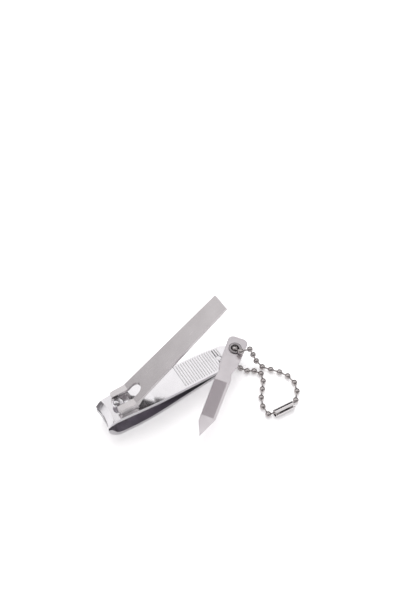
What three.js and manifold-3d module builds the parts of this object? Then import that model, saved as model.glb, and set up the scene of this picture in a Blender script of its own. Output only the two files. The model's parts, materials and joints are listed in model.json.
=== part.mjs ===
// Nail clipper with a raised lever, a swung-out file and a ball chain. Millimetres, +Z up.
// The origin is on the table under the swivel pin's axis, and +X runs towards the jaws.
import * as THREE from "three";
import { mergeVertices } from "three/addons/utils/BufferGeometryUtils.js";
import Module from "manifold-3d";

const wasm = await Module();
wasm.setup();

const degrees = (angle) => (angle * Math.PI) / 180;

// ---- Driving dimensions ----

// Arms, both stamped from the same sheet.
const armSheet = 1.7;
const armGap = 0.36; // between the arms where they lie on each other, room for the upper one to flex
const armWidth = 11.5; // widest, behind the pin
const jawWidth = 10.4;
const shoulderWidth = 9.6; // where the rear corners are cut off
const shoulderX = -46.8;
const tailRadius = 3.3; // rounded rear end, about the eyelet
const widestFrontX = -4;
const widestRearX = -16;
const rearBendX = -39; // the arms lie together behind this bend
const rearBendRadius = 12;
const rearTilt = degrees(3.5); // the rear end falls towards the tail
const seamHeight = 5.45; // middle of the gap between the arms at the eyelet
const bellyX = -10; // the lower arm lies flat on the table in front of this bend
const bellyRadius = 30;
const rampX = -12; // the upper arm climbs from here to its crown
const rampRise = 0.06; // how far the ramp's foot stands over the line of the rear end
const rampRadius = 15;
const crownX = -3;
const crownTop = 10.95; // top of the upper arm at the pin
const crownRadius = 8;

// Jaws.
const jawReach = 7.5; // corners of the cutting edges, from the pin's axis
const edgeRadius = 15; // the cutting edges are hollow arcs in plan
const jawMiddle = 7.4; // height half-way between the cutting edges
const jawOpening = 1.4;
const upperLipX = 4.55;
const upperLipAngle = degrees(30);
const upperLipRadius = 1.2;
const upperBevelSlope = 0.76; // ground outside of the upper jaw, run per rise
const lowerLipX = 4.4;
const lowerLipAngle = degrees(62);
const lowerLipRadius = 4;
const edgeLand = 0.14; // flat left on a cutting edge
const reliefRun = 1.5; // ground inside of a cutting edge
const reliefRise = 0.8;

// Grip grooves across the upper arm.
const grooveCount = 19;
const groovePitch = 1.08;
const grooveFirstX = -25.4;
const grooveRadius = 0.3;
const grooveDepth = 0.14;
const grooveMargin = 0.7;

// Swivel pin.
const shankRadius = 1.6;
const footRadius = 2.6;
const footHeight = 0.8;
const footLift = 0; // the foot is flush with the belly
const footClearance = 0.3; // round the foot in its recess
const footCeiling = 0.15; // over the foot in its recess
const shankClearance = 0.3;
const upperShankClearance = 0.45; // the upper arm tilts on the shank
const ballRadius = 1.55; // front lobe of the head, over the lever's bar
const ballX = 1.35;
const ballRise = 0.3; // ball's centre over the top of the notch
const rearLobeRise = 0.75; // the shank stands this far over the notch
const lobeGroove = 0.22;

// Lever.
const leverSheet = 1.2;
const leverPitch = degrees(38.6);
const plateLength = 47.6;
const noseFrontX = 1.9;
const kneeX = -4.5;
const kneeRadius = 1.3;
const noseWidth = 8.9;
const kneeWidth = 9.4;
const tailWidth = 6.9;
const noseTop = 14.45;
const flangeSheet = 1.15;
const flangeFoot = 0.25; // flange over the crown of the upper arm
const heelDrop = 0.15; // the heel, at the knee, reaches this much lower
const heelX = -4.4;
const fadeLength = 4.2; // the flanges fade out behind the knee over this length
const barRadius = 0.7;
const barX = 1.0;
const barClearance = 0.22;
const slotWidth = 4.3;
const slotRearX = -8.6;

// File.
const fileSheet = 0.8;
const fileClearance = 0.3; // over the upper arm
const fileSwing = degrees(38); // swung out of the arms at rest
const fileLength = 41.4; // eyelet to tip
const fileHeadWidth = 8.1;
const fileHeadReach = 5.9; // behind the eyelet
const fileHeadCorner = 2.4;
const fileShoulderAt = 8.2;
const fileShoulderWidth = 7.2;
const fileNotchAt = 11.9;
const fileNotchWidth = 5.0;
const fileNeckAt = 15.6;
const fileNeckWidth = 6.4;
const fileEndWidth = 5.6;
const fileLeftCornerAt = 35.8;
const fileRightCornerAt = 33.2;
const fileTipOffset = -0.5;

// Eyelet and the small rivet in front of it.
const eyeletX = -51;
const eyeletBore = 1.5;
const eyeletWall = 0.35;
const flangeRadius = 2.65;
const flangeHeight = 0.48;
const eyeletFlangeGap = 0.12;
const eyeletClearance = 0.22; // round the tube in the lower arm and the file
const upperEyeletClearance = 0.3;
const rivetX = -43.2;
const rivetRadius = 1.15;
const rivetSink = 0.05;
const rivetClearance = 0.22;

// Ball chain.
const beadRadius = 1.2;
const linkRadius = 0.28;
const linkGap = 0.06; // between a link and the bead that it enters
const connectorLength = 8.8;
const connectorRadius = 1.65;
const connectorWall = 0.3;
const connectorMouth = 1.0; // hole in each end, too small for a bead
const connectorSlit = 0.7;
const connectorSlitTurn = degrees(50); // from level towards the top

// ---- Heights and places worked out from them ----

const seamAt = (x, offset) => seamHeight + (x - eyeletX) * Math.tan(rearTilt) + offset / Math.cos(rearTilt);
const armOffset = (armGap + armSheet) / 2;
const armOuter = armGap / 2 + armSheet;
const lowerEdge = jawMiddle - jawOpening / 2;
const upperEdge = jawMiddle + jawOpening / 2;
const arcCentreX = jawReach + Math.sqrt(edgeRadius ** 2 - (jawWidth / 2) ** 2);
const barHeight = crownTop + flangeFoot + barRadius - 0.05;
const notchTop = barHeight + barRadius + barClearance;
const fileBottom = armOuter + fileClearance;
const fileTop = fileBottom + fileSheet;
const tubeRadius = eyeletBore + eyeletWall;

// ---- Shape helpers ----

// A closed geometry as a solid that can be cut and joined.
function solid(geometry) {
  const bare = geometry.index ? geometry.toNonIndexed() : geometry.clone();
  bare.deleteAttribute("normal");
  bare.deleteAttribute("uv");
  const merged = mergeVertices(bare, 1e-4);
  const triVerts = new Uint32Array(merged.index.array);
  const vertProperties = merged.attributes.position.array;
  return new wasm.Manifold(new wasm.Mesh({ numProp: 3, vertProperties, triVerts }));
}

function geometryOf(shape) {
  const { vertProperties, triVerts } = shape.getMesh();
  const geometry = new THREE.BufferGeometry();
  geometry.setAttribute("position", new THREE.BufferAttribute(vertProperties, 3));
  geometry.setIndex(new THREE.BufferAttribute(triVerts, 1));
  return geometry;
}

// An outline of [x, z] points, extruded across the clipper from y0 to y1.
function acrossClipper(points, y0, y1) {
  const shape = new THREE.Shape(points.map(([x, z]) => new THREE.Vector2(x, z)));
  const geometry = new THREE.ExtrudeGeometry(shape, { depth: y1 - y0, bevelEnabled: false });
  return solid(geometry.rotateX(Math.PI / 2).translate(0, y1, 0));
}

// A THREE.Shape in plan, extruded upwards from z0 to z1.
function upwards(shape, z0, z1, curveSegments = 12) {
  const geometry = new THREE.ExtrudeGeometry(shape, { depth: z1 - z0, bevelEnabled: false, curveSegments });
  return solid(geometry.translate(0, 0, z0));
}

// A profile of [radius, z] points turned about the vertical axis at x. It starts and ends on the
// axis, or it is closed here, and it is run so that its faces point out.
function turned(points, x = 0, segments = 32) {
  const profile = points.map(([radius, z]) => new THREE.Vector2(radius, z));
  if (THREE.ShapeUtils.isClockWise(profile)) profile.reverse();
  if (profile[0].x > 0) profile.push(profile[0]);
  return solid(new THREE.LatheGeometry(profile, segments).rotateX(Math.PI / 2).translate(x, 0, 0));
}

const upright = (radius, z0, z1, x = 0, segments = 32) =>
  turned([[0, z0], [radius, z0], [radius, z1], [0, z1]], x, segments);

// The line through [x, z, bend radius] corners, with an arc at each corner that has a radius.
function bentLine(corners) {
  const line = [];
  corners.forEach(([x, z, radius], i) => {
    const corner = new THREE.Vector2(x, z);
    if (!radius) {
      line.push(corner);
      return;
    }
    const back = new THREE.Vector2(corners[i - 1][0], corners[i - 1][1]).sub(corner).normalize();
    const ahead = new THREE.Vector2(corners[i + 1][0], corners[i + 1][1]).sub(corner).normalize();
    const half = Math.acos(back.dot(ahead)) / 2;
    const centre = back.clone().add(ahead).setLength(radius / Math.sin(half)).add(corner);
    const start = back.clone().multiplyScalar(radius / Math.tan(half)).add(corner).sub(centre);
    const turn = Math.sign(back.cross(ahead)) * -(Math.PI - 2 * half);
    const steps = Math.max(3, Math.ceil(Math.abs(turn) / degrees(9)));
    for (let step = 0; step <= steps; step += 1) {
      line.push(start.clone().rotateAround(new THREE.Vector2(), (turn * step) / steps).add(centre));
    }
  });
  return line;
}

// The side view of a sheet whose middle follows the corners.
function sheetProfile(corners, thickness) {
  const line = bentLine(corners);
  const offset = (side) =>
    line.map((point, i) => {
      const before = point.clone().sub(line[Math.max(i - 1, 0)]);
      const after = line[Math.min(i + 1, line.length - 1)].clone().sub(point);
      const along = before.length() ? before.normalize() : after.clone().normalize();
      const next = after.length() ? after.normalize() : along.clone();
      const middle = along.clone().add(next).normalize();
      const reach = (side * thickness) / 2 / middle.dot(along);
      return [point.x - middle.y * reach, point.y + middle.x * reach];
    });
  return [...offset(1), ...offset(-1).reverse()];
}

// Places something built about the eyelet's axis, with the middle of the arms' seam at z = 0.
function atEyelet(shape, x = eyeletX) {
  const turn = new THREE.Matrix4().makeRotationY(-rearTilt);
  const place = new THREE.Matrix4().makeTranslation(x, 0, seamAt(x, 0)).multiply(turn);
  return shape.transform(place.toArray());
}

// ---- Arms ----

function armOutline() {
  const outline = new THREE.Shape();
  const side = (sign, ends) => ends.map(([x, width]) => [x, (sign * width) / 2]);
  const stations = [[9, jawWidth], [jawReach - 2, jawWidth], [widestFrontX, armWidth],
    [widestRearX, armWidth], [rearBendX, armWidth - 0.7], [shoulderX, shoulderWidth]];
  const near = side(1, stations);
  const far = side(-1, stations).reverse();
  outline.moveTo(...near[0]);
  near.slice(1).forEach(([x, y]) => outline.lineTo(x, y));
  outline.absarc(eyeletX, 0, tailRadius, degrees(75), degrees(285), false);
  far.forEach(([x, y]) => outline.lineTo(x, y));
  return upwards(outline, -2, 20, 10);
}

// The ground jaw faces follow arcs about one upright axis in front of the jaws.
function jawFaces(edge, sign, bevelSlope) {
  const far = edge + sign * 4;
  const outside = [[0, edge - sign * 2], [edgeRadius, edge - sign * 2], [edgeRadius, edge],
    [edgeRadius + bevelSlope * 4, far], [0, far]];
  const inside = [[edgeRadius + edgeLand, edge], [edgeRadius + edgeLand + reliefRun, edge + sign * reliefRise],
    [edgeRadius + edgeLand + reliefRun, edge - sign * 2], [edgeRadius + edgeLand, edge - sign * 2]];
  return { outside: turned(outside, arcCentreX, 128), inside: turned(inside, arcCentreX, 128) };
}

function lowerArm() {
  const z = (x) => seamAt(x, -armOffset);
  const lipRun = 7;
  const profile = sheetProfile([
    [-57, z(-57)],
    [rearBendX, z(rearBendX), rearBendRadius],
    [bellyX, armSheet / 2, bellyRadius],
    [lowerLipX, armSheet / 2, lowerLipRadius],
    [lowerLipX + lipRun * Math.cos(lowerLipAngle), armSheet / 2 + lipRun * Math.sin(lowerLipAngle)],
  ], armSheet);
  const faces = jawFaces(lowerEdge, -1, 0.04);
  const recess = upright(footRadius + footClearance, -1, footLift + footHeight + footCeiling);
  const above = acrossClipper([[4, lowerEdge], [12, lowerEdge], [12, 14], [4, 14]], -8, 8);
  return acrossClipper(profile, -8, 8)
    .intersect(armOutline())
    .subtract(above)
    .subtract(faces.outside)
    .subtract(faces.inside)
    .subtract(recess)
    .subtract(upright(shankRadius + shankClearance, -1, 4))
    .subtract(atEyelet(upright(tubeRadius + eyeletClearance, -4, 0)))
    .subtract(atEyelet(upright(rivetRadius + rivetClearance, -4, 0), rivetX));
}

// Corners of the upper arm's middle line.
const rampFootZ = seamAt(rampX, armOffset) + rampRise;
const crownZ = crownTop - armSheet / 2;
const upperCorners = [
  [-57, seamAt(-57, armOffset)],
  [rearBendX, seamAt(rearBendX, armOffset), rearBendRadius],
  [rampX, rampFootZ, rampRadius],
  [crownX, crownZ, crownRadius],
  [upperLipX, crownZ, upperLipRadius],
  [upperLipX + 5 * Math.cos(upperLipAngle), crownZ - 5 * Math.sin(upperLipAngle)],
];

function upperArm() {
  const faces = jawFaces(upperEdge, 1, upperBevelSlope);
  const below = acrossClipper([[4, upperEdge - 4], [12, upperEdge - 4], [12, upperEdge], [4, upperEdge]], -8, 8);
  let arm = acrossClipper(sheetProfile(upperCorners, armSheet), -8, 8)
    .intersect(armOutline())
    .subtract(below)
    .subtract(faces.outside)
    .subtract(faces.inside)
    .subtract(upright(shankRadius + upperShankClearance, 6, 14))
    .subtract(atEyelet(upright(tubeRadius + upperEyeletClearance, 0, 4)))
    .subtract(atEyelet(upright(rivetRadius + rivetClearance, 0, 4), rivetX));
  const [, , [x1, z1]] = upperCorners;
  const [, [x0, z0]] = upperCorners;
  const slope = (z1 - z0) / (x1 - x0);
  for (let i = 0; i < grooveCount; i += 1) {
    const x = grooveFirstX - i * groovePitch;
    const top = x < rearBendX ? seamAt(x, armOuter) : z0 + (x - x0) * slope + armSheet / 2 / Math.cos(Math.atan(slope));
    const width = x < shoulderX ? shoulderWidth - 2 : armWidth - 0.9;
    const half = width / 2 - grooveMargin;
    const cutter = new THREE.CylinderGeometry(grooveRadius, grooveRadius, 2 * half, 10)
      .translate(x, 0, top + grooveRadius - grooveDepth);
    arm = arm.subtract(solid(cutter));
  }
  return arm;
}

// ---- Pin ----

function pin() {
  const shankTop = notchTop + rearLobeRise;
  const shank = turned([
    [0, footLift], [footRadius, footLift], [footRadius, footLift + footHeight], [shankRadius, footLift + footHeight],
    [shankRadius, shankTop - 0.5], [shankRadius - 0.22, shankTop - 0.12], [shankRadius - 0.7, shankTop], [0, shankTop],
  ]);
  const ball = solid(new THREE.SphereGeometry(ballRadius, 24, 16).rotateX(Math.PI / 2)
    .translate(ballX, 0, notchTop + ballRise));
  const reach = barRadius + barClearance;
  const notch = acrossClipper([
    [barX - reach, barHeight - reach], [barX + 6, barHeight - reach], [barX + 6, notchTop], [barX - reach, notchTop],
  ], -4, 4);
  const groove = new THREE.CylinderGeometry(lobeGroove, lobeGroove, 6, 8)
    .translate(ballX - ballRadius - 0.1, 0, shankTop + 0.02);
  return shank.add(ball).subtract(notch).subtract(solid(groove));
}

// ---- Lever ----

function lever() {
  const z = noseTop - leverSheet / 2;
  const tail = [kneeX - plateLength * Math.cos(leverPitch), z + plateLength * Math.sin(leverPitch)];
  const plate = acrossClipper(sheetProfile([[noseFrontX, z], [kneeX, z, kneeRadius], tail], leverSheet), -6, 6);
  const foot = crownTop + flangeFoot;
  const fadeX = heelX - fadeLength;
  const flanges = acrossClipper([
    [noseFrontX - 0.5, foot + 0.1], [barX, foot - 0.02], [heelX + 0.8, foot - heelDrop], [heelX - 0.4, foot - heelDrop + 0.1],
    [heelX - 1.1, foot + 0.7], [fadeX, z + (kneeX - fadeX) * Math.tan(leverPitch)],
    [kneeX, z], [noseFrontX, z], [noseFrontX, foot + 0.7],
  ], -6, 6);
  const channelHalf = noseWidth / 2 - flangeSheet;
  const channel = acrossClipper([
    [noseFrontX + 2, foot - 2], [noseFrontX + 2, noseTop - leverSheet], [kneeX + 0.4, noseTop - leverSheet],
    [fadeX - 2, noseTop - leverSheet + (kneeX + 0.4 - fadeX + 2) * Math.tan(leverPitch)], [fadeX - 2, foot - 2],
  ], -channelHalf, channelHalf);
  const outline = new THREE.Shape();
  const corner = 0.9;
  outline.moveTo(noseFrontX - corner, -noseWidth / 2);
  outline.absarc(noseFrontX - corner, -noseWidth / 2 + corner, corner, degrees(-90), 0, false);
  outline.absarc(noseFrontX - corner, noseWidth / 2 - corner, corner, 0, degrees(90), false);
  outline.lineTo(kneeX, kneeWidth / 2);
  outline.lineTo(tail[0] - 1, tailWidth / 2);
  outline.lineTo(tail[0] - 1, -tailWidth / 2);
  outline.lineTo(kneeX, -kneeWidth / 2);
  const slot = new THREE.Shape();
  slot.moveTo(noseFrontX + 2, -slotWidth / 2);
  slot.lineTo(noseFrontX + 2, slotWidth / 2);
  slot.absarc(slotRearX + slotWidth / 2, 0, slotWidth / 2, degrees(90), degrees(270), false);
  const bar = solid(new THREE.CylinderGeometry(barRadius, barRadius, 2 * channelHalf + 1, 16)
    .translate(barX, 0, barHeight));
  return plate
    .add(flanges)
    .subtract(channel)
    .intersect(upwards(outline, 0, 60, 4))
    .subtract(upwards(slot, 0, 60, 10))
    .add(bar);
}

// ---- File ----

function file() {
  const shape = new THREE.Shape();
  const half = fileShoulderWidth / 2;
  const notch = fileNotchWidth / 2;
  const neck = fileNeckWidth / 2;
  const end = fileEndWidth / 2;
  const cornerX = fileHeadCorner - fileHeadReach;
  const cornerY = fileHeadWidth / 2 - fileHeadCorner;
  shape.absarc(cornerX, cornerY, fileHeadCorner, degrees(90), degrees(180), false);
  shape.absarc(cornerX, -cornerY, fileHeadCorner, degrees(180), degrees(270), false);
  shape.lineTo(fileShoulderAt, -half);
  shape.quadraticCurveTo(fileNotchAt - 2.2, -half, fileNotchAt, -notch - 0.25);
  shape.lineTo(fileNeckAt, -neck);
  shape.lineTo(fileLeftCornerAt, -end);
  shape.lineTo(fileLength, fileTipOffset);
  shape.lineTo(fileRightCornerAt, end);
  shape.lineTo(fileNeckAt - 0.8, neck - 0.3);
  shape.quadraticCurveTo(fileNotchAt + 1, notch - 0.3, fileNotchAt, notch - 0.2);
  shape.lineTo(fileShoulderAt + 0.4, half - 0.4);
  shape.quadraticCurveTo(fileShoulderAt - 0.4, half + 0.1, fileShoulderAt - 2, half);
  const swing = new THREE.Matrix4().makeRotationZ(fileSwing);
  const blade = upwards(shape, fileBottom, fileTop, 10)
    .subtract(upright(tubeRadius + eyeletClearance, fileBottom - 1, fileTop + 1));
  return atEyelet(blade.transform(swing.toArray()));
}

// ---- Eyelet and rivet ----

function eyelet() {
  const low = -armOuter - eyeletFlangeGap;
  const high = fileTop + eyeletFlangeGap;
  const round = flangeHeight * 0.45;
  return atEyelet(turned([
    [eyeletBore, low - flangeHeight + round], [eyeletBore + round, low - flangeHeight],
    [flangeRadius - round, low - flangeHeight], [flangeRadius, low - flangeHeight + round],
    [flangeRadius, low - 0.05], [flangeRadius - 0.05, low], [tubeRadius, low], [tubeRadius, high],
    [flangeRadius - 0.05, high], [flangeRadius, high + 0.05],
    [flangeRadius, high + flangeHeight - round], [flangeRadius - round, high + flangeHeight],
    [eyeletBore + round, high + flangeHeight], [eyeletBore, high + flangeHeight - round],
  ]));
}

const rivet = () => atEyelet(upright(rivetRadius, -armOuter + rivetSink, armOuter - rivetSink, 0, 24), rivetX);

// ---- Ball chain ----

// Bead centres: up through the eyelet, over its rim, round on the table to the connector,
// and from the connector back under the eyelet.
const outward = [
  [-51, 0, 4.75], [-51, 0, 8.45], [-51.5, 3.25, 10.3], [-55.4, 4.0, 9.75], [-56.6, 5.1, 6.4], [-57.6, 6.6, 3.1],
  [-58.9, 9.3, beadRadius], [-61.1, 12.1, beadRadius], [-63.4, 14.9, beadRadius], [-65.1, 18.1, beadRadius],
  [-65.5, 21.9, beadRadius], [-63.9, 25.5, beadRadius], [-60.95, 28.45, beadRadius],
];
const homeward = [
  [-48.1, 27.75, beadRadius], [-48.3, 23.95, beadRadius], [-50.1, 20.5, beadRadius], [-52.7, 17.7, beadRadius],
  [-55.2, 14.9, beadRadius], [-56.5, 11.6, beadRadius], [-54.9, 9.15, beadRadius], [-52.5, 7.65, beadRadius],
  [-50.95, 5.15, beadRadius], [-51.0, 1.75, beadRadius],
];
const connectorMiddle = new THREE.Vector3(-54.4, 29.4, connectorRadius);
const connectorTurn = degrees(-4);

function bead([x, y, z]) {
  return new THREE.SphereGeometry(beadRadius, 12, 8).rotateX(Math.PI / 2).translate(x, y, z);
}

// The visible neck of the wire that joins two beads.
function link(from, to) {
  const start = new THREE.Vector3(...from);
  const along = new THREE.Vector3(...to).sub(start);
  const length = along.length() - 2 * (beadRadius + linkGap);
  const turn = new THREE.Quaternion().setFromUnitVectors(new THREE.Vector3(0, 1, 0), along.clone().normalize());
  const middle = start.addScaledVector(along, 0.5);
  return new THREE.CylinderGeometry(linkRadius, linkRadius, length, 8).applyQuaternion(turn)
    .translate(middle.x, middle.y, middle.z);
}

// Split barrel that grips the last bead of each end.
function connector() {
  const half = connectorLength / 2;
  const inner = connectorRadius - connectorWall;
  const lip = connectorMouth;
  const barrel = turned([
    [lip, -half], [connectorRadius - 0.35, -half], [connectorRadius, -half + 0.4], [connectorRadius, half - 0.4],
    [connectorRadius - 0.35, half], [lip, half], [lip, half - connectorWall], [inner, half - connectorWall - 0.4],
    [inner, connectorWall + 0.4 - half], [lip, connectorWall - half],
  ], 0, 24);
  const slit = solid(new THREE.BoxGeometry(connectorSlit, 2 * connectorRadius, connectorLength + 2)
    .translate(0, connectorRadius, 0).rotateZ(connectorSlitTurn));
  const lay = new THREE.Matrix4().makeRotationZ(connectorTurn)
    .multiply(new THREE.Matrix4().makeRotationY(Math.PI / 2));
  const place = new THREE.Matrix4().makeTranslation(connectorMiddle.x, connectorMiddle.y, connectorMiddle.z);
  return barrel.subtract(slit).transform(place.multiply(lay).toArray());
}

// ---- The clipper ----

const clipper = new THREE.Group();

function part(name, geometry, color, roughness) {
  const material = new THREE.MeshStandardMaterial({ color, roughness, metalness: 1 });
  const mesh = new THREE.Mesh(geometry, material);
  mesh.name = name;
  clipper.add(mesh);
}

part("lower_arm", geometryOf(lowerArm()), 0xd8d8dc, 0.12);
part("upper_arm", geometryOf(upperArm()), 0xe2e0e4, 0.12);
part("pin", geometryOf(pin()), 0xd0d0d4, 0.1);
part("lever", geometryOf(lever()), 0xc9c3c6, 0.22);
part("file", geometryOf(file()), 0xcfc4cb, 0.35);
part("eyelet", geometryOf(eyelet()), 0x9c979c, 0.15);
part("arm_rivet", geometryOf(rivet()), 0xdcdadf, 0.15);
part("chain_connector", geometryOf(connector()), 0xd6d2d2, 0.12);

const gripOffset = connectorLength / 2 - connectorWall - beadRadius;
const gripped = [-1, 1].map((side) => {
  const along = new THREE.Vector3(Math.cos(connectorTurn), Math.sin(connectorTurn), 0);
  return connectorMiddle.clone().addScaledVector(along, side * gripOffset).toArray();
});
const runs = [
  [...outward, gripped[0]],
  [gripped[1], ...homeward],
];
const number = (n) => String(n).padStart(2, "0");
const chain = runs.flat();
chain.forEach((centre, i) => part(`bead_${number(i + 1)}`, bead(centre), 0xb8b0ae, 0.15));
let links = 0;
runs.forEach((run) => run.slice(1).forEach((centre, i) => {
  links += 1;
  part(`link_${number(links)}`, link(run[i], centre), 0x9a9290, 0.2);
}));
links += 1;
part(`link_${number(links)}`, link(homeward.at(-1), outward[0]), 0x9a9290, 0.2);

export default clipper;
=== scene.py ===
"""Nail clipper in plated steel with its lever raised, its file swung out and a ball chain on its eyelet."""
import json
import math

import bpy
from mathutils import Matrix, Vector

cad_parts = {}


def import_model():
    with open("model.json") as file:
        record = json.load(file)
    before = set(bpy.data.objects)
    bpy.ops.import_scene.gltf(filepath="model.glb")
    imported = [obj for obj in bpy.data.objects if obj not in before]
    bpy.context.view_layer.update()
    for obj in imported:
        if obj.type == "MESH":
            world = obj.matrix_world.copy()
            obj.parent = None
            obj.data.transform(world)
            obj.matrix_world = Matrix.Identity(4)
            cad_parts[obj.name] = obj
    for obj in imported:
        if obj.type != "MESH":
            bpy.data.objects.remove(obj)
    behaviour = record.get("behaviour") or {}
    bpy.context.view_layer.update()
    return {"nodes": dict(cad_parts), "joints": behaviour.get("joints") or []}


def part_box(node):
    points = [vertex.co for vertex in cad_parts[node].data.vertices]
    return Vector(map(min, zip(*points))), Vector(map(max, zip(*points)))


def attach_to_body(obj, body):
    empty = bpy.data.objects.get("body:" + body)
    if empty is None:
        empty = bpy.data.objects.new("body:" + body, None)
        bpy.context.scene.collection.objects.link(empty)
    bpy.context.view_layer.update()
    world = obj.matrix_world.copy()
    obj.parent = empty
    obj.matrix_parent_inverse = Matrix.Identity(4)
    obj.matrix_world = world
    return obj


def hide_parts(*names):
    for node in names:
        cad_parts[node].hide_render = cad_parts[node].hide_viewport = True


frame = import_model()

mm = 0.001
joints = {joint["name"]: joint for joint in frame["joints"]}

# ---- Sizes, in millimetres ----

arm_sheet = 1.7
arm_gap = 0.36
arm_width = 11.5
jaw_width = 10.4
shoulder_x, shoulder_width = -46.8, 9.6
tail_radius = 3.3
rear_bend_x, rear_bend_radius = -39, 12
rear_tilt = math.radians(3.5)
seam_height = joints["file_swing"]["pos_m"][2] / mm
belly_x, belly_radius = -10, 30
ramp_x, ramp_rise, ramp_radius = -12, 0.06, 15
crown_x, crown_top, crown_radius = -3, 10.95, 8

jaw_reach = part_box("lower_arm")[1].x / mm
edge_radius = 15
lower_edge, upper_edge = 6.7, 8.1
lower_lip_x, lower_lip_angle, lower_lip_radius = 4.4, math.radians(62), 4
upper_lip_x, upper_lip_angle, upper_lip_radius = 4.55, math.radians(30), 1.2
upper_bevel_slope = 0.76
edge_land, relief_run, relief_rise = 0.14, 1.5, 0.8

groove_count, groove_pitch, groove_first_x = 19, 1.08, -25.4
groove_radius, groove_depth, groove_margin = 0.34, 0.16, 0.7

eyelet_x = joints["file_swing"]["pos_m"][0] / mm
eyelet_bore, eyelet_wall = 1.5, 0.35
flange_radius, flange_height, flange_gap = 2.65, 0.48, 0.12
rivet_x, rivet_radius = -43.2, 1.15

bar_x, bar_height = (joints["lever_press"]["pos_m"][i] / mm for i in (0, 2))
bar_radius, bar_clearance = 0.7, 0.22
shank_radius, foot_radius, foot_height = 1.6, 2.6, 0.8
ball_radius, ball_x, ball_rise, rear_lobe_rise = 1.55, 1.35, 0.3, 0.75

lever_sheet = 1.2
lever_pitch = math.radians(38.6)
plate_length = 47.6
nose_front_x, knee_x, knee_radius, nose_top = 1.9, -4.5, 1.3, 14.45
nose_width, knee_width, tail_width = 8.9, 9.4, 6.9
flange_sheet, flange_foot, heel_drop, heel_x, fade_length = 1.15, 0.25, 0.15, -4.4, 4.2
slot_width, slot_rear_x = 4.3, -8.6

file_sheet, file_clearance = 0.8, 0.3
file_swing = math.radians(38)
file_head_half, file_head_reach, file_head_corner = 4.05, 5.9, 2.4
hatch_from, hatch_to, hatch_pitch = 16.5, 33.0, 0.55

bead_radius = 1.2
link_radius = 0.3
connector_length, connector_radius, connector_wall = 8.8, 1.65, 0.3
connector_turn, slit_turn, slit_width = math.radians(-4), math.radians(50), 0.7

arm_offset = (arm_gap + arm_sheet) / 2
arm_outer = arm_gap / 2 + arm_sheet
arc_centre_x = jaw_reach + math.sqrt(edge_radius ** 2 - (jaw_width / 2) ** 2)
notch_top = bar_height + bar_radius + bar_clearance
file_bottom = arm_outer + file_clearance
file_top = file_bottom + file_sheet


def seam(x, offset=0.0):
    """Height of the seam between the arms at x, or of a line parallel to it."""
    return seam_height + (x - eyelet_x) * math.tan(rear_tilt) + offset / math.cos(rear_tilt)


# Added to the table's own brightness, as the camera sees it and as the metal mirrors it.
table_glow = 0.45
mirrored_glow = 0.1

# ---- Making shapes ----

def only(*objects):
    """Selects these objects and nothing else, the first one active."""
    bpy.ops.object.select_all(action="DESELECT")
    for thing in objects:
        thing.select_set(True)
    bpy.context.view_layer.objects.active = objects[0]


def named(piece, name):
    piece.name = name
    piece.data.name = name
    return piece


def settle(piece):
    """Puts the object's place into its mesh, so that the object sits at the origin."""
    only(piece)
    bpy.ops.object.transform_apply(location=True, rotation=True, scale=True)
    return piece


def edit(piece):
    only(piece)
    bpy.ops.object.mode_set(mode="EDIT")
    bpy.ops.mesh.select_all(action="SELECT")


def done():
    bpy.ops.object.mode_set(mode="OBJECT")


def line(points):
    """A line of edges through the points, each vertex pulled out of the one before."""
    places = [Vector(point) * mm for point in points]
    bpy.ops.object.select_all(action="DESELECT")
    bpy.ops.mesh.primitive_plane_add(size=mm, location=places[0])
    piece = settle(bpy.context.object)
    edit(piece)
    bpy.ops.mesh.merge(type="CENTER")
    for here, there in zip(places, places[1:]):
        bpy.ops.mesh.extrude_region_move(TRANSFORM_OT_translate={"value": there - here})
    done()
    return piece


def plate(outline, thickness):
    """A flat outline drawn out along the vector thickness."""
    piece = line([*outline, outline[0]])
    edit(piece)
    bpy.ops.mesh.remove_doubles(threshold=mm / 1000)
    bpy.ops.mesh.edge_face_add()
    bpy.ops.mesh.extrude_region_move(TRANSFORM_OT_translate={"value": Vector(thickness) * mm})
    bpy.ops.mesh.select_all(action="SELECT")
    bpy.ops.mesh.normals_make_consistent(inside=False)
    done()
    return piece


def turned(profile, x=0.0, steps=64):
    """A [radius, z] profile spun about the upright axis at x."""
    piece = line([(x + radius, 0, z) for radius, z in profile])
    edit(piece)
    bpy.ops.mesh.spin(steps=steps, angle=2 * math.pi, center=(x * mm, 0, 0), axis=(0, 0, 1))
    bpy.ops.mesh.select_all(action="SELECT")
    bpy.ops.mesh.remove_doubles(threshold=mm / 500)
    bpy.ops.mesh.normals_make_consistent(inside=False)
    done()
    return piece


def strip(route, half_width, thickness):
    """A sheet laid along a route of (x, z), as wide at each point as half_width says."""
    (x, z), *rest = route
    piece = line([(x, -half_width(x), z), (x, half_width(x), z)])
    edit(piece)
    for next_x, next_z in rest:
        step = Vector((next_x - x, 0, next_z - z)) * mm
        bpy.ops.mesh.extrude_region_move(TRANSFORM_OT_translate={"value": step})
        wider = half_width(next_x) / half_width(x)
        centre = (next_x * mm, 0, next_z * mm)
        bpy.ops.transform.resize(value=(1, wider, 1), center_override=centre)
        x, z = next_x, next_z
    done()
    modify(piece, "SOLIDIFY", thickness=thickness * mm, offset=0, use_even_offset=True)
    edit(piece)
    bpy.ops.mesh.normals_make_consistent(inside=False)
    done()
    return piece


def modify(piece, kind, **settings):
    """Adds a modifier with these settings and applies it."""
    only(piece)
    bpy.ops.object.modifier_add(type=kind)
    modifier = piece.modifiers[-1]
    for key, value in settings.items():
        setattr(modifier, key, value)
    bpy.ops.object.modifier_apply(modifier=modifier.name)


def boolean(piece, other, operation):
    modify(piece, "BOOLEAN", operation=operation, object=other, solver="EXACT")
    bpy.data.objects.remove(other)
    return piece


def cut(piece, *cutters):
    for cutter in cutters:
        boolean(piece, cutter, "DIFFERENCE")
    return piece


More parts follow.
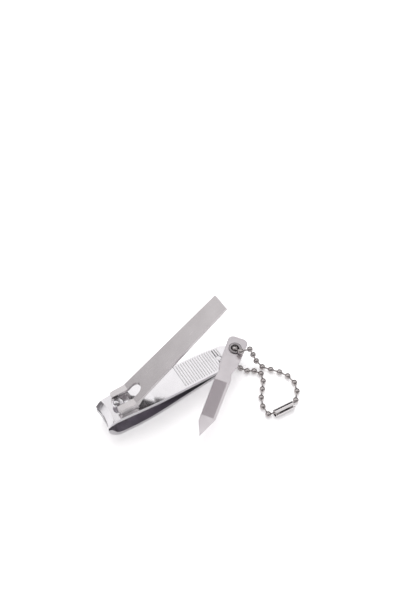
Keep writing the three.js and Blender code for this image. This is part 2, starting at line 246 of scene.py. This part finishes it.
def rod(radius, length, place, turn=(0, 0, 0), sides=48):
    """A round bar, used to cut holes and grooves and joined into larger pieces."""
    bpy.ops.object.select_all(action="DESELECT")
    bpy.ops.mesh.primitive_cylinder_add(
        vertices=sides, radius=radius * mm, depth=length * mm, location=Vector(place) * mm, rotation=turn)
    return settle(bpy.context.object)


def soften(piece, width, angle=35, segments=3):
    """Rounds the edges that are sharper than angle, and smooths the shading."""
    modify(piece, "BEVEL", width=width * mm, segments=segments, limit_method="ANGLE",
           angle_limit=math.radians(angle), use_clamp_overlap=True)
    edit(piece)
    bpy.ops.mesh.remove_doubles(threshold=mm / 2000)
    bpy.ops.mesh.normals_make_consistent(inside=False)
    done()
    return smooth(piece)


def smooth(piece, angle=32):
    """Shades the piece smooth, with the normals of its large faces kept flat."""
    only(piece)
    bpy.ops.object.shade_smooth_by_angle(angle=math.radians(angle))
    modify(piece, "WEIGHTED_NORMAL", keep_sharp=True, weight=60)
    return piece


def bent(corners, step=math.radians(2.5)):
    """The route through (x, z) corners, with an arc at each corner that has a radius."""
    route = []
    for i, (x, z, *radius) in enumerate(corners):
        corner = Vector((x, z))
        if not radius:
            route.append(corner)
            continue
        back = (Vector(corners[i - 1][:2]) - corner).normalized()
        ahead = (Vector(corners[i + 1][:2]) - corner).normalized()
        half = math.acos(back.dot(ahead)) / 2
        centre = corner + (back + ahead).normalized() * (radius[0] / math.sin(half))
        start = corner + back * (radius[0] / math.tan(half)) - centre
        end = corner + ahead * (radius[0] / math.tan(half)) - centre
        turn = math.atan2(start.x * end.y - start.y * end.x, start.dot(end))
        count = max(3, math.ceil(abs(turn) / step))
        for n in range(count + 1):
            c, s = math.cos(turn * n / count), math.sin(turn * n / count)
            route.append(centre + Vector((c * start.x - s * start.y, s * start.x + c * start.y)))
    return [(point.x, point.y) for point in route]


def at_eyelet(u, v, w, x=eyelet_x):
    """A point given along, across and above the seam at the eyelet."""
    c, s = math.cos(rear_tilt), math.sin(rear_tilt)
    return (x + u * c - w * s, v, seam(x) + u * s + w * c)


def tilt_to_eyelet(piece, x=eyelet_x):
    """Moves a piece made about the upright axis at the origin to the eyelet's tilted axis."""
    piece.rotation_euler = (0, -rear_tilt, 0)
    piece.location = Vector(at_eyelet(0, 0, 0, x)) * mm
    return settle(piece)


def attach(piece, name, body, slot, material, *nodes):
    """Names a finished piece, gives it its material and hangs it on its body in place of its nodes."""
    named(piece, name)
    piece.data.materials.clear()
    piece.data.materials.append(material)
    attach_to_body(piece, body)
    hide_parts(*nodes)
    return piece


# ---- Shader maths ----

class Wire:
    """An output socket that takes arithmetic, each operation adding its Math node."""

    def __init__(self, finish, socket):
        self.finish = finish
        self.socket = socket

    def math(self, operation, *values):
        inputs = dict(enumerate(values))
        return self.finish.node("ShaderNodeMath", {"operation": operation}, inputs)

    def __add__(self, other):
        return self.math("ADD", self, other)

    def __sub__(self, other):
        return self.math("SUBTRACT", self, other)

    def __rsub__(self, other):
        return self.math("SUBTRACT", other, self)

    def __mul__(self, other):
        return self.math("MULTIPLY", self, other)

    def __truediv__(self, other):
        return self.math("DIVIDE", self, other)

    def __gt__(self, other):
        return self.math("GREATER_THAN", self, other)

    def __lt__(self, other):
        return self.math("LESS_THAN", self, other)

    def groove(self):
        """A smooth wave from 0 to 1 and back, once for each whole number."""
        return self.math("PINGPONG", self, 0.5) * 2

    def both(self, other):
        return self.math("MINIMUM", self, other)

    __radd__ = __add__
    __rmul__ = __mul__


class Finish:
    """A material or the world while its nodes are added."""

    def __init__(self, owner):
        self.owner = owner
        owner.use_nodes = True
        self.tree = owner.node_tree

    def node(self, kind, settings=None, inputs=None, output=0):
        """Adds one node, makes its settings, fills or links its inputs, and returns one output."""
        made = self.tree.nodes.new(kind)
        for key, value in (settings or {}).items():
            if key == "stops":
                self.stops(made.color_ramp.elements, value)
            else:
                setattr(made, key, value)
        for key, value in (inputs or {}).items():
            if isinstance(value, Wire):
                self.tree.links.new(value.socket, made.inputs[key])
            else:
                made.inputs[key].default_value = value
        return Wire(self, made.outputs[output])

    def stops(self, elements, wanted):
        """Sets a colour ramp's stops from (place, colour) pairs."""
        while len(elements) < len(wanted):
            elements.new(1)
        for element, (place, colour) in zip(elements, wanted):
            element.position = place
            element.color = (*colour, 1)

    def place(self):
        return self.node("ShaderNodeTexCoord", output="Object")

    def along(self, direction, origin=(0, 0, 0)):
        """Distance from the origin along a direction, in millimetres."""
        offset = self.node("ShaderNodeVectorMath", {"operation": "SUBTRACT"},
                           {0: self.place(), 1: [part * mm for part in origin]})
        return self.node("ShaderNodeVectorMath", {"operation": "DOT_PRODUCT"},
                         {0: offset, 1: [part / mm for part in direction]}, output="Value")

    def heading(self, direction):
        """How far the view of the world, or an object's own normal, points along a direction."""
        normal = "Normal" if isinstance(self.owner, bpy.types.Material) else "Generated"
        facing = self.node("ShaderNodeTexCoord", output=normal)
        return self.node("ShaderNodeVectorMath", {"operation": "DOT_PRODUCT"},
                         {0: facing, 1: direction}, output="Value")

    def noise(self, size, stretch=(1, 1, 1), detail=3, turn=(0, 0, 0)):
        """Cloudy noise with blotches of a size in millimetres, drawn out along an axis by stretch."""
        scale = [1 / (size * mm * part) for part in stretch]
        spread = self.node("ShaderNodeMapping", {}, {"Vector": self.place(), "Rotation": turn})
        spread = self.node("ShaderNodeVectorMath", {"operation": "MULTIPLY"}, {0: spread, 1: scale})
        return self.node("ShaderNodeTexNoise", {}, {"Vector": spread, "Scale": 1, "Detail": detail},
                         output="Fac")

    def ramp(self, factor, stops):
        return self.node("ShaderNodeValToRGB", {"stops": stops}, {"Fac": factor})

    def mix(self, factor, first, second):
        """The first colour where factor is 0 and the second where it is 1."""
        return self.node("ShaderNodeMix", {"data_type": "RGBA"}, {"Factor": factor, 6: first, 7: second}, output=2)

    def surface(self, colour, roughness, height=None, depth=0.02, metallic=1.0):
        """Sets the Principled shader, with height raising a bump of a depth in millimetres."""
        shader = self.tree.nodes["Principled BSDF"]
        shader.inputs["Metallic"].default_value = metallic
        for name, value in (("Base Color", colour), ("Roughness", roughness)):
            if isinstance(value, Wire):
                self.tree.links.new(value.socket, shader.inputs[name])
            else:
                shader.inputs[name].default_value = value
        if height:
            bump = self.node("ShaderNodeBump", {}, {"Height": height, "Distance": depth * mm, "Strength": 1})
            self.tree.links.new(bump.socket, shader.inputs["Normal"])
        return self.owner


def new_finish(name):
    return Finish(bpy.data.materials.new(name))


# ---- Finishes ----

def bright_plating(name, dark, light, roughness=0.07, grain=(9, 1, 1), dull_shaded_side=None):
    """Polished plating: faint clouding, a ripple from the stamping and hair-fine handling marks.
    The side that faces the given direction is rougher, and its colour is painted darker there as the shade that
    falls between the arms."""
    finish = new_finish(name)
    clouds = finish.noise(5)
    marks = finish.noise(0.12, grain, detail=2)
    scratches = finish.noise(0.1, (30, 1, 1), detail=1, turn=(0, 0, 0.6)) > 0.7
    colour = finish.ramp(clouds, [(0.3, dark), (0.7, light)])
    gloss = roughness + clouds * 0.05 + marks * 0.05 + scratches * 0.08
    # Painted shade: the faces between the arms get a darker colour that stands in for the shade there. They are
    # also given a higher roughness.
    if dull_shaded_side:
        dull_and_shaded = finish.heading(dull_shaded_side) > 0.5
        painted_shade = finish.ramp(clouds, [(0.3, (0.42, 0.4, 0.44)), (0.7, (0.5, 0.47, 0.52))])
        colour = finish.mix(dull_and_shaded, colour, painted_shade)
        gloss = gloss + dull_and_shaded * 0.2
    return finish.surface(colour, gloss, clouds * 0.5 + marks * 0.05 - scratches * 0.04, depth=0.007)


def brushed_plating():
    """The lever's sheet, ground along its length before it was plated."""
    finish = new_finish("brushed_plating")
    clouds = finish.noise(7)
    grain = finish.noise(0.09, (60, 1, 60), detail=2, turn=(0, lever_pitch, 0))
    colour = finish.ramp(clouds, [(0.3, (0.72, 0.695, 0.7)), (0.7, (0.79, 0.765, 0.77))])
    gloss = 0.16 + grain * 0.12 + clouds * 0.05
    return finish.surface(colour, gloss, grain * 0.3 + clouds * 0.4, depth=0.006)


def file_steel():
    """Satin plating with two sets of file teeth crossing on the blade, and plain margins."""
    finish = new_finish("file_steel")
    c, s = math.cos(file_swing), math.sin(file_swing)
    origin = at_eyelet(0, 0, 0)
    along = finish.along((c, s, 0), origin)
    across = finish.along((-s, c, 0), origin)
    inside = (along > hatch_from).both(along < hatch_to).both(across < 2.0)
    slope = 0.55
    one = ((along + across * slope) / hatch_pitch).groove()
    other = ((along - across * slope) / hatch_pitch).groove()
    teeth = one.both(other)
    clouds = finish.noise(4)
    satin = finish.noise(0.1, detail=2)
    plain = finish.ramp(clouds, [(0.3, (0.87, 0.83, 0.855)), (0.7, (0.94, 0.9, 0.925))])
    worked = finish.ramp(teeth, [(0.1, (0.72, 0.66, 0.69)), (0.75, (0.92, 0.86, 0.9))])
    colour = finish.mix(inside, plain, worked)
    gloss = 0.3 + satin * 0.12 + inside * 0.1
    return finish.surface(colour, gloss, inside * teeth * 2 + satin * 0.1, depth=0.035)


def table_top():
    """A pale table that the camera and the metal see a little brighter than it is lit."""
    finish = new_finish("table_top")
    paper = finish.noise(300)
    colour = finish.ramp(paper, [(0.3, (0.93, 0.925, 0.93)), (0.7, (0.95, 0.945, 0.95))])
    finish.surface(colour, 0.9, metallic=0)
    seen = finish.node("ShaderNodeLightPath", output="Is Camera Ray")
    mirrored = finish.node("ShaderNodeLightPath", output="Is Glossy Ray")
    strength = seen * table_glow + mirrored * mirrored_glow
    glow = finish.node("ShaderNodeEmission", {}, {"Color": (1, 0.99, 0.995, 1), "Strength": strength})
    lit = Wire(finish, finish.tree.nodes["Principled BSDF"].outputs[0])
    both = finish.node("ShaderNodeAddShader", {}, {0: lit, 1: glow})
    finish.tree.links.new(both.socket, finish.tree.nodes["Material Output"].inputs["Surface"])
    return finish.owner


# The arms' inner faces, the lower arm's top and the upper arm's underside, are painted darker as shade between the
# arms.
lower_plating = bright_plating("lower_plating", (0.89, 0.88, 0.9), (0.94, 0.93, 0.95), dull_shaded_side=(0, 0, 1))
upper_plating = bright_plating("upper_plating", (0.89, 0.88, 0.9), (0.94, 0.93, 0.95), dull_shaded_side=(0, 0, -1))
pin_plating = bright_plating("pin_plating", (0.8, 0.79, 0.81), (0.87, 0.86, 0.88), grain=(1, 1, 1))
dark_nickel = bright_plating("dark_nickel", (0.32, 0.3, 0.31), (0.42, 0.4, 0.41), 0.1, (1, 1, 1))
bead_nickel = bright_plating("bead_nickel", (0.6, 0.56, 0.55), (0.7, 0.67, 0.66), 0.07, (1, 1, 1))
link_nickel = bright_plating("link_nickel", (0.5, 0.47, 0.46), (0.62, 0.59, 0.58), 0.16, (1, 1, 1))
barrel_nickel = bright_plating("barrel_nickel", (0.8, 0.78, 0.78), (0.87, 0.85, 0.85), 0.07, (6, 1, 1))
lever_plating = brushed_plating()
file_plating = file_steel()


# ---- Arms ----

def arm_half_width(x):
    """Half the arms' width: round at the tail, cut shoulders, long flat sides, narrower at the jaws."""
    if x < eyelet_x + 1.2:
        inside = max(tail_radius ** 2 - (x - eyelet_x) ** 2, 0.03)
        return math.sqrt(inside)
    tangent = math.sqrt(tail_radius ** 2 - 1.2 ** 2)
    stations = [(eyelet_x + 1.2, tangent), (shoulder_x, shoulder_width / 2),
                (rear_bend_x, arm_width / 2 - 0.35), (-16, arm_width / 2), (-4, arm_width / 2),
                (jaw_reach - 2, jaw_width / 2), (20, jaw_width / 2)]
    for (x0, w0), (x1, w1) in zip(stations, stations[1:]):
        if x <= x1:
            return w0 + (w1 - w0) * (x - x0) / (x1 - x0)
    return jaw_width / 2


def with_stations(route, places):
    """The same route with extra points at these x places, where the outline turns."""
    full = []
    for (x0, z0), (x1, z1) in zip(route, route[1:]):
        full.append((x0, z0))
        for x in sorted(place for place in places if x0 + 0.02 < place < x1 - 0.02):
            full.append((x, z0 + (z1 - z0) * (x - x0) / (x1 - x0)))
    return [*full, route[-1]]


tail_steps = [eyelet_x - tail_radius * math.cos(math.radians(angle)) for angle in range(10, 90, 8)]
outline_places = [*tail_steps, eyelet_x + 1.2, shoulder_x, -16, -4, jaw_reach - 2]


def jaw_cutters(edge, sign, slope):
    """The hollow outside and the ground inside of a jaw, both about one upright axis in front of it."""
    outside = turned([(0, edge - sign * 2), (edge_radius, edge - sign * 2), (edge_radius, edge),
                      (edge_radius + slope * 4, edge + sign * 4), (0, edge + sign * 4)], arc_centre_x, 160)
    land = edge_radius + edge_land
    inside = turned([(land, edge - sign * 2), (land, edge), (land + relief_run, edge + sign * relief_rise),
                     (land + relief_run, edge - sign * 2), (land, edge - sign * 2)], arc_centre_x, 160)
    return outside, inside


def box_cutter(x0, x1, z0, z1):
    return plate([(x0, -8, z0), (x1, -8, z0), (x1, -8, z1), (x0, -8, z1)], (0, 16, 0))


def hole(radius, x):
    """A cutter for a hole square to the arms' rear end."""
    return tilt_to_eyelet(rod(radius, 8, (0, 0, 0)), x)


def lower_arm():
    tail_x = eyelet_x - tail_radius + 0.005
    run = 7
    route = bent([
        (tail_x, seam(tail_x, -arm_offset)),
        (rear_bend_x, seam(rear_bend_x, -arm_offset), rear_bend_radius),
        (belly_x, arm_sheet / 2, belly_radius),
        (lower_lip_x, arm_sheet / 2, lower_lip_radius),
        (lower_lip_x + run * math.cos(lower_lip_angle), arm_sheet / 2 + run * math.sin(lower_lip_angle)),
    ])
    arm = strip(with_stations(route, outline_places), arm_half_width, arm_sheet)
    cut(arm, box_cutter(4, 14, lower_edge, 16), *jaw_cutters(lower_edge, -1, 0.04),
        rod(foot_radius + 0.3, 1.9, (0, 0, 0)), rod(shank_radius + 0.3, 8, (0, 0, 0)),
        hole(eyelet_bore + eyelet_wall + 0.2, eyelet_x), hole(rivet_radius + 0.05, rivet_x))
    return soften(arm, 0.24)


def upper_arm():
    tail_x = eyelet_x - tail_radius + 0.005
    crown_z = crown_top - arm_sheet / 2
    bend = (rear_bend_x, seam(rear_bend_x, arm_offset))
    foot = (ramp_x, seam(ramp_x, arm_offset) + ramp_rise)
    route = bent([
        (tail_x, seam(tail_x, arm_offset)), (*bend, rear_bend_radius), (*foot, ramp_radius),
        (crown_x, crown_z, crown_radius), (upper_lip_x, crown_z, upper_lip_radius),
        (upper_lip_x + 5 * math.cos(upper_lip_angle), crown_z - 5 * math.sin(upper_lip_angle)),
    ])
    arm = strip(with_stations(route, outline_places), arm_half_width, arm_sheet)
    cut(arm, box_cutter(4, 14, upper_edge - 4, upper_edge), *jaw_cutters(upper_edge, 1, upper_bevel_slope),
        rod(shank_radius + 0.45, 8, (0, 0, crown_top)),
        hole(eyelet_bore + eyelet_wall + 0.2, eyelet_x), hole(rivet_radius + 0.05, rivet_x))
    soften(arm, 0.24)
    slope = (foot[1] - bend[1]) / (foot[0] - bend[0])
    for i in range(groove_count):
        x = groove_first_x - i * groove_pitch
        half = arm_half_width(x) - groove_margin
        over = groove_radius - groove_depth
        if x < rear_bend_x:
            top = seam(x, arm_outer)
        else:
            top = bend[1] + (x - bend[0]) * slope + arm_sheet / 2 / math.cos(math.atan(slope))
        cut(arm, rod(groove_radius, 2 * half, (x, 0, top + over), (math.pi / 2, 0, 0), sides=24))
    return smooth(arm)


attach(lower_arm(), "lower_arm_plated", "arms_root", "arms", lower_plating, "lower_arm")
attach(upper_arm(), "upper_arm_plated", "upper_arm", "arms", upper_plating, "upper_arm")


# ---- Pin ----

def pin():
    top = notch_top + rear_lobe_rise
    shank = turned([(0, 0), (foot_radius - 0.12, 0), (foot_radius, 0.12), (foot_radius, foot_height),
                    (shank_radius, foot_height), (shank_radius, top - 0.55),
                    (shank_radius - 0.12, top - 0.25),
                    (shank_radius - 0.4, top - 0.07), (shank_radius - 0.9, top), (0, top)])
    bpy.ops.object.select_all(action="DESELECT")
    bpy.ops.mesh.primitive_uv_sphere_add(segments=48, ring_count=24, radius=ball_radius * mm,
                                         location=(ball_x * mm, 0, (notch_top + ball_rise) * mm))
    boolean(shank, settle(bpy.context.object), "UNION")
    reach = bar_radius + bar_clearance
    notch = plate([(bar_x - reach, -4, bar_height - reach), (bar_x + 6, -4, bar_height - reach),
                   (bar_x + 6, -4, notch_top), (bar_x - reach, -4, notch_top)], (0, 8, 0))
    groove = rod(0.24, 6, (ball_x - ball_radius - 0.1, 0, top + 0.02), (math.pi / 2, 0, 0), sides=24)
    return soften(cut(shank, notch, groove), 0.08, segments=2)


attach(pin(), "pin_turned", "pin", "pin", pin_plating, "pin")


# ---- Lever ----

def lever_half_width(x, tail_x):
    if x > nose_front_x - 0.9:
        into = x - (nose_front_x - 0.9)
        return nose_width / 2 - 0.9 + math.sqrt(max(0.9 ** 2 - into ** 2, 0.01))
    if x > knee_x:
        share = (x - knee_x) / (nose_front_x - 0.9 - knee_x)
        return (knee_width + (nose_width - knee_width) * share) / 2
    share = (x - knee_x) / (tail_x - knee_x)
    return (knee_width + (tail_width - knee_width) * share) / 2


def lever():
    middle = nose_top - lever_sheet / 2
    rise = math.tan(lever_pitch)
    tail = (knee_x - plate_length * math.cos(lever_pitch), middle + plate_length * math.sin(lever_pitch))
    route = bent([(nose_front_x, middle), (knee_x, middle, knee_radius), tail])
    corner = [nose_front_x - 0.9 + 0.9 * math.sin(math.radians(angle)) for angle in range(0, 90, 15)]
    backwards = [(-x, z) for x, z in route]
    backwards = with_stations(backwards, [-x for x in corner])
    route = [(-x, z) for x, z in backwards]
    body = strip(route, lambda x: lever_half_width(x, tail[0]), lever_sheet)
    foot = crown_top + flange_foot
    fade_x = heel_x - fade_length
    for side in (-1, 1):
        outer = side * (nose_width / 2 - 0.02)
        side_view = [(nose_front_x - 0.62, foot + 0.1), (bar_x, foot - 0.02),
                     (heel_x + 0.8, foot - heel_drop),
                     (heel_x - 0.4, foot - heel_drop + 0.1), (heel_x - 1.1, foot + 0.7),
                     (fade_x, middle + (knee_x - fade_x) * rise), (knee_x, middle),
                     (nose_front_x - 0.3, middle), (nose_front_x - 0.3, foot + 0.7)]
        flange = plate([(x, outer, z) for x, z in side_view], (0, -side * flange_sheet, 0))
        boolean(body, flange, "UNION")
    bar = rod(bar_radius, nose_width - 2 * flange_sheet + 0.4, (bar_x, 0, bar_height), (math.pi / 2, 0, 0))
    boolean(body, bar, "UNION")
    half = slot_width / 2
    centre = slot_rear_x + half
    round_end = [(centre - half * math.sin(a), half * math.cos(a), 10) for a in
                 (math.radians(angle) for angle in range(0, 181, 10))]
    reach = nose_front_x + 3
    slot = plate([(reach, half, notch_top - 0.6), *[(x, y, notch_top - 0.6) for x, y, _ in round_end],
                  (reach, -half, notch_top - 0.6)], (0, 0, 14))
    return soften(cut(body, slot), 0.15)


attach(lever(), "lever_pressed", "lever", "lever", lever_plating, "lever")


# ---- File ----

def file():
    """The blade's outline is given along and across the file from the eyelet's axis."""
    def arc(centre, radius, start, end, steps):
        angles = [math.radians(start + (end - start) * n / steps) for n in range(steps + 1)]
        return [(centre[0] + radius * math.cos(a), centre[1] + radius * math.sin(a)) for a in angles]

    def curve(p0, p1, p2, steps=8):
        return [tuple((1 - t) ** 2 * a + 2 * t * (1 - t) * b + t * t * c for a, b, c in zip(p0, p1, p2))
                for t in (n / steps for n in range(1, steps + 1))]

    corner_x = file_head_corner - file_head_reach
    corner_y = file_head_half - file_head_corner
    outline = [
        *arc((corner_x, corner_y), file_head_corner, 90, 180, 10),
        *arc((corner_x, -corner_y), file_head_corner, 180, 270, 10), (8.2, -3.6),
        *curve((8.2, -3.6), (9.7, -3.6), (11.9, -2.75)),
        (15.6, -3.2), (35.8, -2.8), (41.4, -0.5), (33.2, 2.8), (14.8, 2.9),
        *curve((14.8, 2.9), (12.9, 2.2), (11.9, 2.3)), (8.6, 3.2), *curve((8.6, 3.2), (7.8, 3.7), (6.2, 3.6)),
    ]
    c, s = math.cos(file_swing), math.sin(file_swing)
    swung = [at_eyelet(u * c - v * s, u * s + v * c, file_bottom) for u, v in outline]
    up = Vector(at_eyelet(0, 0, 1)) - Vector(at_eyelet(0, 0, 0))
    blade = plate(swung, up * file_sheet)
    cut(blade, hole(eyelet_bore + eyelet_wall + 0.2, eyelet_x))
    return soften(blade, 0.16)


attach(file(), "file_blade", "file", "file", file_plating, "file")


# ---- Eyelet and rivet ----

def eyelet():
    low = -arm_outer - flange_gap
    high = file_top + flange_gap
    crest = flange_height
    tube = eyelet_bore + eyelet_wall
    outer_lip = [(flange_radius - 0.28 * (1 - math.cos(a)), 0.28 * math.sin(a)) for a in
                 (math.radians(angle) for angle in range(0, 91, 15))]
    inner_lip = [(eyelet_bore + 0.4 * (1 - math.sin(a)), 0.4 * math.cos(a)) for a in
                 (math.radians(angle) for angle in range(0, 91, 15))]
    upper = [(tube, high), (flange_radius, high), *[(r, high + crest - 0.28 + z) for r, z in outer_lip],
             *[(r, high + crest - 0.4 + z) for r, z in inner_lip]]
    lower = [(r, low + high - z) for r, z in reversed(upper)]
    return tilt_to_eyelet(turned([*upper, *lower, upper[0]]))


def rivet():
    high = arm_outer - 0.05
    head = [(0, -high), (rivet_radius - 0.15, -high), (rivet_radius, -high + 0.15),
            (rivet_radius, high - 0.15),
            (rivet_radius - 0.15, high - 0.02), (rivet_radius - 0.5, high), (0, high)]
    return smooth(tilt_to_eyelet(turned(head), rivet_x))


attach(smooth(eyelet()), "eyelet_flanged", "arms_root", "eyelet", dark_nickel, "eyelet")
attach(rivet(), "arm_rivet_flush", "arms_root", "rivet", pin_plating, "arm_rivet")


# ---- Ball chain ----

def middle_of(node):
    low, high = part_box(node)
    return (low + high) / 2


def rolled_bead():
    """A rolled bead about the origin, its wire along Z, with a collar round each hole."""
    bpy.ops.object.select_all(action="DESELECT")
    bpy.ops.mesh.primitive_uv_sphere_add(segments=32, ring_count=20, radius=bead_radius * mm)
    bead = settle(bpy.context.object)
    edit(bead)
    bpy.ops.mesh.select_all(action="DESELECT")
    for end in (-1, 1):
        done()
        for face in bead.data.polygons:
            face.select = face.center.z * end > 0.9 * bead_radius * mm
        bpy.ops.object.mode_set(mode="EDIT")
        bpy.ops.mesh.inset(thickness=0.05 * mm, depth=0.03 * mm)
        bpy.ops.mesh.inset(thickness=0.03 * mm, depth=-0.12 * mm)
        bpy.ops.mesh.select_all(action="DESELECT")
    done()
    return smooth(bead, 50)


def neck(length):
    """The wire between two beads, upset a little where it enters each of them."""
    half = length / 2
    return smooth(turned([(0, -half), (link_radius + 0.12, -half), (link_radius + 0.08, -half + 0.15),
                          (link_radius, -half + 0.3), (link_radius, half - 0.3),
                          (link_radius + 0.08, half - 0.15),
                          (link_radius + 0.12, half), (0, half)], steps=20), 50)


def copy_to(model, place, direction):
    """A copy of a model made about the origin, its Z axis turned to a direction."""
    turn = Vector((0, 0, 1)).rotation_difference(direction)
    copy = model.copy()
    copy.data = model.data.copy()
    bpy.context.scene.collection.objects.link(copy)
    copy.matrix_world = Matrix.Translation(place) @ turn.to_matrix().to_4x4()
    return settle(copy)


def chain():
    bead_nodes = sorted(node for node in frame["nodes"] if node.startswith("bead_"))
    link_nodes = sorted(node for node in frame["nodes"] if node.startswith("link_"))
    beads = {node: middle_of(node) for node in bead_nodes}
    bead_model = rolled_bead()
    ways = {}
    for node in link_nodes:
        place = middle_of(node)
        two = sorted(beads, key=lambda bead: (beads[bead] - place).length)[:2]
        way = beads[two[1]] - beads[two[0]]
        for bead in two:
            ways.setdefault(bead, []).append(way if two[0] < two[1] else -way)
        length = way.length / mm - 2 * (bead_radius - 0.14)
        wire = neck(length)
        link = copy_to(wire, (beads[two[0]] + beads[two[1]]) / 2, way)
        bpy.data.objects.remove(wire)
        attach(link, node + "_wire", "chain", "links", link_nickel, node)
    for node, place in beads.items():
        direction = sum((way.normalized() for way in ways[node]), Vector())
        attach(copy_to(bead_model, place, direction), node + "_rolled", "chain", "beads", bead_nickel, node)
    bpy.data.objects.remove(bead_model)


def connector():
    half = connector_length / 2
    inner = connector_radius - connector_wall
    edge = [(connector_radius - 0.4 * (1 - math.cos(a)), half - 0.4 + 0.4 * math.sin(a)) for a in
            (math.radians(angle) for angle in range(0, 91, 15))]
    half_profile = [*edge, (1.0, half), (1.0, half - connector_wall), (inner, half - connector_wall - 0.4)]
    profile = [*half_profile, *[(r, -z) for r, z in reversed(half_profile)], half_profile[0]]
    barrel = turned(profile, steps=48)
    side, end = slit_width / 2, half + 1
    slit = plate([(-side, 0, -end), (side, 0, -end), (side, 0, end), (-side, 0, end)], (0, 3, 0))
    slit.rotation_euler = (0, 0, slit_turn)
    soften(cut(barrel, settle(slit)), 0.06, segments=2)
    lay = Matrix.Rotation(connector_turn, 4, "Z") @ Matrix.Rotation(math.pi / 2, 4, "Y")
    barrel.rotation_euler = lay.to_euler()
    place = middle_of("chain_connector")
    place.z = connector_radius * mm
    barrel.location = place
    return settle(barrel)


chain()
attach(connector(), "connector_barrel", "chain", "connector", barrel_nickel, "chain_connector")


# ---- Table, light and camera ----

def stage():
    bpy.ops.object.select_all(action="DESELECT")
    bpy.ops.mesh.primitive_plane_add(size=4, location=(0, 0, 0))
    table = named(bpy.context.object, "table")
    table.data.materials.append(table_top())


def lamp(name, place, aim, size, power):
    bpy.ops.object.light_add(type="AREA", location=place)
    light = bpy.context.object
    light.name = name
    light.data.shape = "DISK"
    light.data.size = size
    light.data.energy = power
    light.visible_glossy = False
    light.rotation_euler = (Vector(aim) - Vector(place)).to_track_quat("-Z", "Y").to_euler()


def studio():
    """A pale room with a dark wall low down on one side and a dim side opposite, for the metal to mirror."""
    sky = Finish(bpy.context.scene.world or bpy.data.worlds.new("studio"))
    bpy.context.scene.world = sky.owner
    up = sky.heading((0, 0, 1))
    room = sky.ramp(up, [(0.0, (0.12, 0.11, 0.12)), (0.2, (0.3, 0.29, 0.3)), (0.45, (0.68, 0.66, 0.67)),
                         (0.6, (0.8, 0.785, 0.79)), (0.7, (1.0, 0.985, 0.99)),
                         (0.8, (1.0, 0.985, 0.99)), (0.9, (0.8, 0.785, 0.79)), (1.0, (0.7, 0.69, 0.695))])
    wall = (sky.heading((-0.72, -0.69, 0)) > 0.5) * (up < 0.685)
    behind = sky.heading((0.3, 0.95, 0)) > 0.3
    dim = sky.mix(behind * 0.7, room, (0.05, 0.047, 0.05, 1))
    dark = sky.mix(wall, dim, (0.03, 0.028, 0.03, 1))
    seen = sky.node("ShaderNodeLightPath", output="Is Camera Ray")
    shown = sky.mix(seen, dark, (1, 1, 1, 1))
    background = sky.tree.nodes["Background"]
    sky.tree.links.new(shown.socket, background.inputs["Color"])
    background.inputs["Strength"].default_value = 1


def camera():
    """Looks down along azimuth and elevation, with a small roll."""
    azimuth, elevation, roll = (math.radians(angle) for angle in (144.9, 50.4, 3.38))
    bpy.ops.object.camera_add(location=(0.03696, 0.09911, 0.19675))
    eye = bpy.context.object
    flat = math.cos(elevation)
    look = Vector((-math.sin(azimuth) * flat, math.cos(azimuth) * flat, -math.sin(elevation)))
    level = look.to_track_quat("-Z", "Y")
    eye.rotation_euler = (level.to_matrix() @ Matrix.Rotation(roll, 3, "Z")).to_euler()
    eye.data.lens = 34.45
    eye.data.clip_start = 0.01
    bpy.context.scene.camera = eye


bpy.context.scene.view_settings.view_transform = "Standard"
stage()
studio()
lamp("overhead", (-0.3, -0.45, 0.7), (-0.025, 0, 0), 0.9, 5)
camera()
